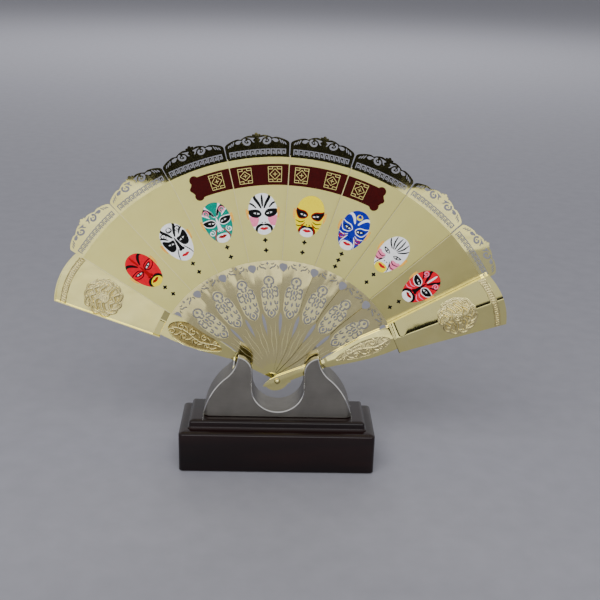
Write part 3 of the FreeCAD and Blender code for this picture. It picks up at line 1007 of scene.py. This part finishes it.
# Half width of a guard's stick at stations along it, each (r, half width)
STICK_WIDTHS = [(STICK_BOTTOM, 0.3), (-8.6, 1.6), (-4.6, 3.0), (0.0, 3.4), (20.0, 3.1), (32.0, 3.0),
                (37.0, 3.3), (39.0, 3.9), (45.0, 4.9), (56.0, 6.9), (68.0, 8.6), (80.0, 9.1),
                (88.0, 8.9), (STICK_TOP, 8.7)]


def stick_half(r):
    return float(np.interp(r, [p[0] for p in STICK_WIDTHS], [p[1] for p in STICK_WIDTHS]))


def roof(u):
    """Two flat slopes across a blade, 1 high, that meet in a narrow rounded ridge at u = 0."""
    return 1 + RIDGE_ROUND - np.sqrt(u * u + RIDGE_ROUND ** 2)


def shell_surface(u, r):
    """Height of the guard's outer face."""
    share = (r - SHELL_FOOT) / (SHELL_PEAK - SHELL_FOOT)
    rise = SHELL_RISE_FOOT + (SHELL_RISE_TOP - SHELL_RISE_FOOT) * share
    return SHELL_RIM + rise * roof(u)


def plate_grid(foot, inset, columns, rows):
    """Positions over a guard's outline: u runs across from -1 to 1; x and r are in millimetres."""
    u, v = np.meshgrid(np.linspace(-1, 1, columns), np.linspace(0, 1, rows))
    top = SHELL_CORNER + (SHELL_PEAK - SHELL_CORNER) * (1 - u * u) - inset
    r = foot + v * (top - foot)
    return u, u * (guard_half(r) - inset), r


def round_spot(x, r, middle):
    """A low dome, 1 at the middle of the roundel and 0 outside it."""
    return np.clip(1 - ((x - middle) ** 2 + (r - ROUNDEL_R) ** 2) / ROUNDEL_RADIUS ** 2, 0, 1)


def decoration(x, r, side):
    """Relief of a guard's upper part, and which of its cells are embossed."""
    middle = ROUNDEL_X[side]
    border = dash_row(BORDER_SPAN, BORDER_R, BORDER_SAG)
    height = emboss(x, r, medallion(middle, ROUNDEL_R) + border)
    height = height + ROUNDEL_DOME * np.sqrt(round_spot(x, r, middle))
    cell_x, cell_r = (x[:-1, :-1] + x[1:, 1:]) / 2, (r[:-1, :-1] + r[1:, 1:]) / 2
    in_border = np.abs(cell_r - BORDER_R + BORDER_CURVE * cell_x ** 2) < BORDER_HALF
    embossed = (round_spot(cell_x, cell_r, middle) > 0) | in_border
    return height, embossed.astype(int)


def collar(r):
    """The shell swells a little near its foot and ends in a rolled lip."""
    swell = 0.45 * np.exp(-((r - 93.8) / 2.6) ** 2)
    return swell + 0.9 * np.exp(-((r - SHELL_FOOT - 0.6) / 0.75) ** 2)


def skirted(x, height, r, inset):
    """Grid of (x, height, r) with side and end skirts that drop to the blade's inner plane."""
    flat = np.zeros(len(r))
    left = np.stack([inset - guard_half(r[:, 0]), flat, r[:, 0]], -1)[:, None]
    right = np.stack([guard_half(r[:, -1]) - inset, flat, r[:, -1]], -1)[:, None]
    grid = np.concatenate([left, np.stack([x, height, r], -1), right], 1)
    end = grid[-1:].copy()
    end[..., 1] = 0.0
    return np.concatenate([grid, end], 0)


def shell_mesh(name, side):
    """Hollow, ridged upper guard."""
    columns, rows = 190, 380
    u, x, r = plate_grid(SHELL_FOOT, 0.0, columns, rows)
    details, embossed = decoration(x, r, side)
    edge = np.clip((1 - np.abs(u)) / EDGE_BLEND, 0, 1)
    height = shell_surface(u, r) + details * edge + collar(r)
    outer = skirted(x, height, r, 0.0)
    inner_u, inner_x, inner_r = plate_grid(SHELL_FOOT, SHELL_WALL, columns, rows)
    details = decoration(inner_x, inner_r, side)[0]
    height = shell_surface(inner_u, inner_r) - SHELL_WALL + details * edge
    inner = skirted(inner_x, height, inner_r, SHELL_WALL)
    inner[0, :, 2] = outer[0, :, 2]
    paint = np.pad(embossed, ((0, 1), (1, 1)))
    return skin(name, facing(outer, side), facing(inner, side), [POLISHED, RELIEF], paint)


def lining_mesh(name, side):
    """Flat plate inside the shell, embossed towards the leaves."""
    u, x, r = plate_grid(LINING_FOOT, LINING_INSET, 170, 330)
    details, embossed = decoration(x, r, side)
    edge = np.clip((1 - np.abs(u)) / EDGE_BLEND, 0, 1)
    front = np.stack([x, LINING_RECESS - np.minimum(details, 0.85) * edge, r], -1)
    back = np.stack([x, np.full_like(x, LINING_RECESS + LINING_THICKNESS), r], -1)
    return skin(name, facing(back, side), facing(front, side), [POLISHED, RELIEF], embossed)


def facing(grid, side):
    """Blade grids hold (x, height, r); heights run away from the leaves."""
    out = grid.copy()
    out[..., 1] = side * (GUARD_INNER + grid[..., 1])
    return out


def stick_mesh(name, side):
    """Guard stick: a ridged bar over the rivet that widens into a roof with a carved middle."""
    columns, rows = 84, 420
    u, r = np.meshgrid(np.linspace(-1, 1, columns), np.linspace(STICK_BOTTOM, STICK_TOP, rows))
    half = np.vectorize(stick_half)(r)
    x = u * half
    widening = np.clip((r - 8.0) / 70.0, 0, 1)
    lens = np.clip((r - 45.0) * (86.5 - r) / 430.0, 0, 1) ** 0.5
    inside = np.clip((0.72 * lens - np.abs(u)) / 0.12, 0, 1)
    relief = emboss(x, r, stick_scrolls())
    height = STICK_BAR + STICK_PITCH * half * roof(u) + STICK_BAR * widening
    height = height - STICK_SINK * inside + STICK_RELIEF * relief * inside
    outer = np.stack([x, height, r], -1)
    pan = np.zeros_like(x)
    if side > 0:
        # The rear stick shows its stamped side: a shallow pan with the scrolls standing in it.
        wide_lens = np.clip((1.02 * lens - np.abs(u)) / 0.10, 0, 1)
        pan = wide_lens * np.clip(PAN_DEPTH - 0.72 * relief, 0.0, 1.0)
    inner = np.stack([x, pan, r], -1)
    carved = (inside[:-1, :-1] > 0).astype(int)
    if side > 0:
        # Deep cells of the pan take the darker gilt: painted shade in the hollow.
        carved = np.where(pan[:-1, :-1] > PAN_SHADE_DEPTH, 2, carved)
    return skin(name, facing(outer, side), facing(inner, side), [POLISHED, RELIEF, HOLLOW_SHADE], carved)


def make_guard(label, body, angle, side):
    matrix = blade_matrix(angle)
    for part, mesh_maker in (("shell", shell_mesh), ("lining", lining_mesh), ("stick", stick_mesh)):
        node = "guard_%s_%s" % (label, part)
        mesh = mesh_maker(node + "_relief", side)
        make_object(mesh, body, matrix, [node])


# ---------------- stand

def make_cradle():
    """The cradle's solid with polished bevels on every long edge."""
    source = frame["nodes"]["cradle"].data
    mesh = source.copy()
    mesh.name = "cradle_body"
    form = bmesh.new()
    form.from_mesh(mesh)
    bmesh.ops.remove_doubles(form, verts=form.verts, dist=1e-6)
    bmesh.ops.dissolve_limit(form, angle_limit=math.radians(0.5), verts=form.verts, edges=form.edges)
    form.to_mesh(mesh)
    form.free()
    mesh.materials.clear()
    mesh.materials.append(PEWTER)
    mesh.materials.append(PEWTER_EDGE_HIGHLIGHT)
    piece = make_object(mesh, "stand", None, ["cradle"])
    bevel = piece.modifiers.new("edges", "BEVEL")
    bevel.width = 0.6 * MM
    bevel.segments = 1
    bevel.use_clamp_overlap = False
    bevel.limit_method = "ANGLE"
    bevel.angle_limit = math.radians(35)
    # The bevels take the lighter pewter: polished edges with a painted highlight.
    bevel.material = 1
    graph = bpy.context.evaluated_depsgraph_get()
    finished = bpy.data.meshes.new_from_object(piece.evaluated_get(graph))
    piece.modifiers.clear()
    piece.data = finished
    shade(finished, 20)


def moulded_box(name, half_x, half_y, profile):
    """A box with rounded corners whose edge follows the profile of (inset, height) pairs."""
    corner, steps = 3.0, 6
    rings = []
    for inset, height in profile:
        radius = max(corner - inset, 0.6)
        ring = []
        for sign_x, sign_y, start in ((1, 1, 0), (-1, 1, 90), (-1, -1, 180), (1, -1, 270)):
            cx, cy = sign_x * (half_x - inset - radius), sign_y * (half_y - inset - radius)
            ring += [(x, y, height) for x, y in arc(cx, cy, radius, start, start + 90, steps)]
        rings.append(ring)
    count = len(rings[0])
    points = [Vector(p) * MM for ring in rings for p in ring]
    faces = [list(range(count))[::-1], [len(points) - count + i for i in range(count)]]
    for level in range(len(rings) - 1):
        low, high = level * count, (level + 1) * count
        for i in range(count):
            faces.append([low + i, low + (i + 1) % count, high + (i + 1) % count, high + i])
    mesh = new_mesh(name, points, faces, [WOOD])
    shade(mesh, 35)
    return mesh


def shoulder(width, drop, top):
    """Profile points of an edge that rolls over by the width and the drop, up to its flat top."""
    steps = 8
    turns = [math.pi / 2 * i / steps for i in range(steps + 1)]
    return [(width * (1 - math.cos(t)), top - drop * (1 - math.sin(t))) for t in turns]


def make_plinth():
    """Lacquered block and step, each with a rounded upper edge and a cove where the step rises."""
    low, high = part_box("plinth_block")
    block = [(0.6, low.z / MM), (0.0, low.z / MM + 0.6)] + shoulder(5.2, 2.2, high.z / MM)
    mesh = moulded_box("plinth_block_body", high.x / MM, high.y / MM, block)
    make_object(mesh, "stand", None, ["plinth_block"])
    low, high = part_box("plinth_step")
    foot = low.z / MM
    step = [(0.0, foot), (0.0, foot + 0.5), (0.9, foot + 1.1), (1.2, foot + 1.9), (1.2, foot + 2.3)]
    step += [(1.2 + a, b) for a, b in shoulder(3.2, 2.0, high.z / MM)]
    mesh = moulded_box("plinth_step_body", high.x / MM, high.y / MM, step)
    make_object(mesh, "stand", None, ["plinth_step"])


def dress(node, finish):
    """Give a CAD node its finished material."""
    slots = frame["nodes"][node].data.materials
    slots.clear()
    slots.append(finish)


# ---------------- scene

def make_camera():
    elevation, heading, roll = (math.radians(a) for a in (ELEVATION, HEADING, ROLL))
    forward = Vector((math.sin(heading) * math.cos(elevation),
                      math.cos(heading) * math.cos(elevation), -math.sin(elevation)))
    right = Vector((math.cos(heading), -math.sin(heading), 0))
    up = right.cross(forward)
    tilted_right = right * math.cos(roll) + up * math.sin(roll)
    tilted_up = up * math.cos(roll) - right * math.sin(roll)
    data = bpy.data.cameras.new("camera")
    data.lens = LENS
    data.sensor_width = SENSOR_WIDTH
    camera = new_object("camera", data)
    camera.matrix_world = placement(tilted_right, tilted_up, -forward, TARGET - forward * DISTANCE)
    bpy.context.scene.camera = camera


def plane(name, corners, finish):
    mesh = new_mesh(name, corners, [list(range(len(corners)))], [finish])
    made = new_object(name, mesh)
    return made


def area_light(name, place, aim, size, power, mirrored=True):
    data = bpy.data.lights.new(name, "AREA")
    data.shape = "RECTANGLE"
    data.size, data.size_y = size
    data.energy = power
    lamp = new_object(name, data)
    lamp.location = place
    lamp.rotation_euler = (Vector(aim) - Vector(place)).to_track_quat("-Z", "Y").to_euler()
    lamp.visible_glossy = mirrored


def only_mirrored(card):
    """Cards stand in for the studio round the table: they show in reflections and nowhere else."""
    for ray in ("camera", "diffuse", "shadow", "transmission"):
        setattr(card, "visible_" + ray, False)


def make_stage():
    cloth = material("pale_floor", ((0.212, 0.212, 0.240), (0.228, 0.228, 0.257)), (60, 4),
                     Roughness=0.9, Specular_IOR_Level=0.1)
    plane("floor", [(-30, -3, 0), (30, -3, 0), (30, 30, 0), (-30, 30, 0)], cloth)
    dark = material("dark_room", ((0.004, 0.004, 0.004), (0.006, 0.006, 0.006)), (3,), Roughness=1.0)
    wall = [(-1.6, 0.0), (1.6, 0.0), (1.6, ROOM_GAP), (-1.6, ROOM_GAP)]
    only_mirrored(plane("dark_card", [(x, TABLE_FRONT, z) for x, z in wall], dark))
    pale = material("pale_card", ((0.48, 0.48, 0.48), (0.70, 0.70, 0.70)), (16, 3, None, 0.8),
                    Roughness=1.0)
    card = [(-1.3, -0.16), (-0.10, -0.16), (-0.07, -0.40), (0.10, -0.40), (0.60, TABLE_FRONT),
            (-1.3, TABLE_FRONT)]
    only_mirrored(plane("floor_card", [(x, y, CARD_HEIGHT) for x, y in card], pale))
    world = bpy.data.worlds.new("studio")
    bpy.context.scene.world = world
    world.use_nodes = True
    background = world.node_tree.nodes["Background"]
    background.inputs["Color"].default_value = STUDIO_TONE
    background.inputs["Strength"].default_value = STUDIO_STRENGTH
    area_light("top_light", (-0.1, -0.75, 1.0), aim=(0, -0.35, 0), size=(1.2, 0.6), power=12,
               mirrored=False)
    area_light("front_light", (0.0, -1.9, 0.75), aim=(0, 0, 0.12), size=(2.2, 0.8), power=14)
    area_light("back_light", (0.0, 3.0, 1.9), aim=(0, 2.8, 0), size=(3.0, 1.0), power=76,
               mirrored=False)


def make_stand():
    make_cradle()
    make_plinth()
    for node, finish in (("underside_felt", FELT), ("cradle_screws", ZINC), ("screw_washers", ZINC),
                         ("rivet", POLISHED), ("rivet_cap", POLISHED), ("rivet_spacers", POLISHED)):
        dress(node, finish)


make_camera()
make_stage()
make_stand()
for leaf_number in range(1, LEAVES + 1):
    make_leaf(leaf_number)
make_guard("rear", "rear_guard", REAR_GUARD_ANGLE, 1)
make_guard("front", "front_guard", FRONT_GUARD_ANGLE, -1)
